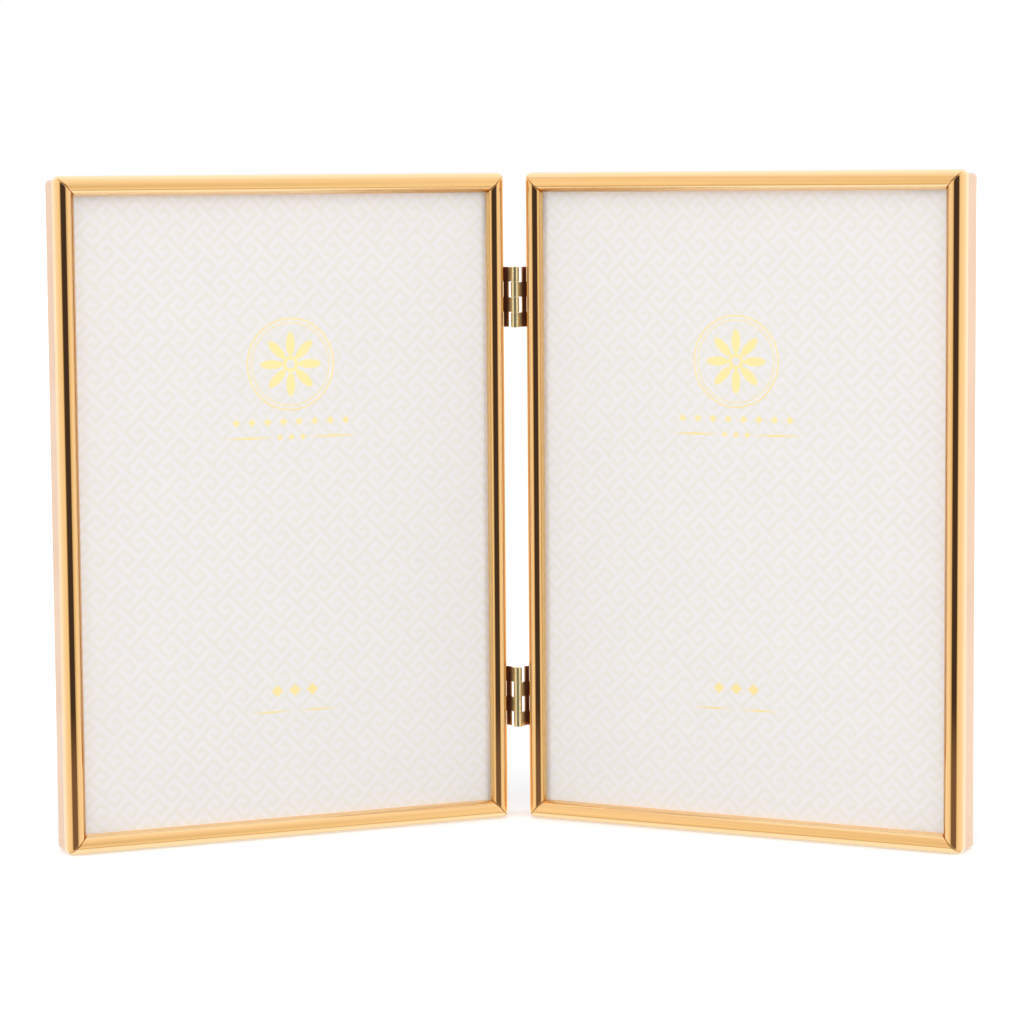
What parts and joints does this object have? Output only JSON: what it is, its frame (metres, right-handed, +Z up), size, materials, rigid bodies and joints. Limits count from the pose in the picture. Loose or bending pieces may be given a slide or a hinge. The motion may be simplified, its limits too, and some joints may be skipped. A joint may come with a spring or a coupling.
{
  "type": "hinged double photo frame",
  "caption": "Slim metal photo frame of two upright panels, hinged together like a book, each holding a picture behind glass.",
  "frame": {"origin": "on the table, under the middle of the object's box when it stands open", "axes": "+X to the right as seen from the pictures' side, +Y away from that side, +Z up along the hinge line"},
  "size_m": [0.2504, 0.0668, 0.184],
  "materials": {
    "polished_gold": "polished gold plate over a formed brass strip",
    "hinge_brass": "bright pale brass plate",
    "key_steel": "plain stamped steel",
    "clear_glass": "clear float glass with ground edges",
    "printed_card": "off-white card with a pale diagonal fret print",
    "grey_card": "uncoated grey board",
    "hardboard": "plain brown hardboard",
    "black_velvet": "short black velvet pile"
  },
  "bodies": {
    "left_panel": {"left_top_rail": "polished_gold", "left_bottom_rail": "polished_gold", "left_outer_rail": "polished_gold", "left_hinge_rail": "polished_gold", "left_corner_keys": "key_steel", "left_glass": "clear_glass", "left_insert_card": "printed_card", "left_filler_card": "grey_card", "left_back_board": "hardboard", "left_velvet_cover": "black_velvet", "left_button_rivets": "hinge_brass", "upper_left_leaf": "hinge_brass", "lower_left_leaf": "hinge_brass", "upper_hinge_pin": "hinge_brass", "lower_hinge_pin": "hinge_brass"},
    "right_panel": {"right_top_rail": "polished_gold", "right_bottom_rail": "polished_gold", "right_outer_rail": "polished_gold", "right_hinge_rail": "polished_gold", "right_corner_keys": "key_steel", "right_glass": "clear_glass", "right_insert_card": "printed_card", "right_filler_card": "grey_card", "right_back_board": "hardboard", "right_velvet_cover": "black_velvet", "right_button_rivets": "hinge_brass", "upper_right_leaf": "hinge_brass", "lower_right_leaf": "hinge_brass"},
    "left_outer_button": {"left_outer_turn_button": "hinge_brass"},
    "left_inner_button": {"left_inner_turn_button": "hinge_brass"},
    "right_outer_button": {"right_outer_turn_button": "hinge_brass"},
    "right_inner_button": {"right_inner_turn_button": "hinge_brass"}
  },
  "joints": [
    {"name": "panel_hinge", "type": "hinge", "parent": "left_panel", "child": "right_panel", "pos_m": [0, 0.02289, 0.092], "axis": [0, 0, 1], "range_deg": [-128.8, 66]},
    {"name": "left_outer_button_turn", "type": "hinge", "parent": "left_panel", "child": "left_outer_button", "pos_m": [-0.11567, -0.01955, 0.092], "axis": [-0.4321, 0.9018, 0], "range_deg": [-90, 90]},
    {"name": "left_inner_button_turn", "type": "hinge", "parent": "left_panel", "child": "left_inner_button", "pos_m": [-0.01646, 0.02798, 0.092], "axis": [-0.4321, 0.9018, 0], "range_deg": [-90, 90]},
    {"name": "right_outer_button_turn", "type": "hinge", "parent": "right_panel", "child": "right_outer_button", "pos_m": [0.11567, -0.01955, 0.092], "axis": [0.4321, 0.9018, 0], "range_deg": [-90, 90]},
    {"name": "right_inner_button_turn", "type": "hinge", "parent": "right_panel", "child": "right_inner_button", "pos_m": [0.01646, 0.02798, 0.092], "axis": [0.4321, 0.9018, 0], "range_deg": [-90, 90]}
  ]
}
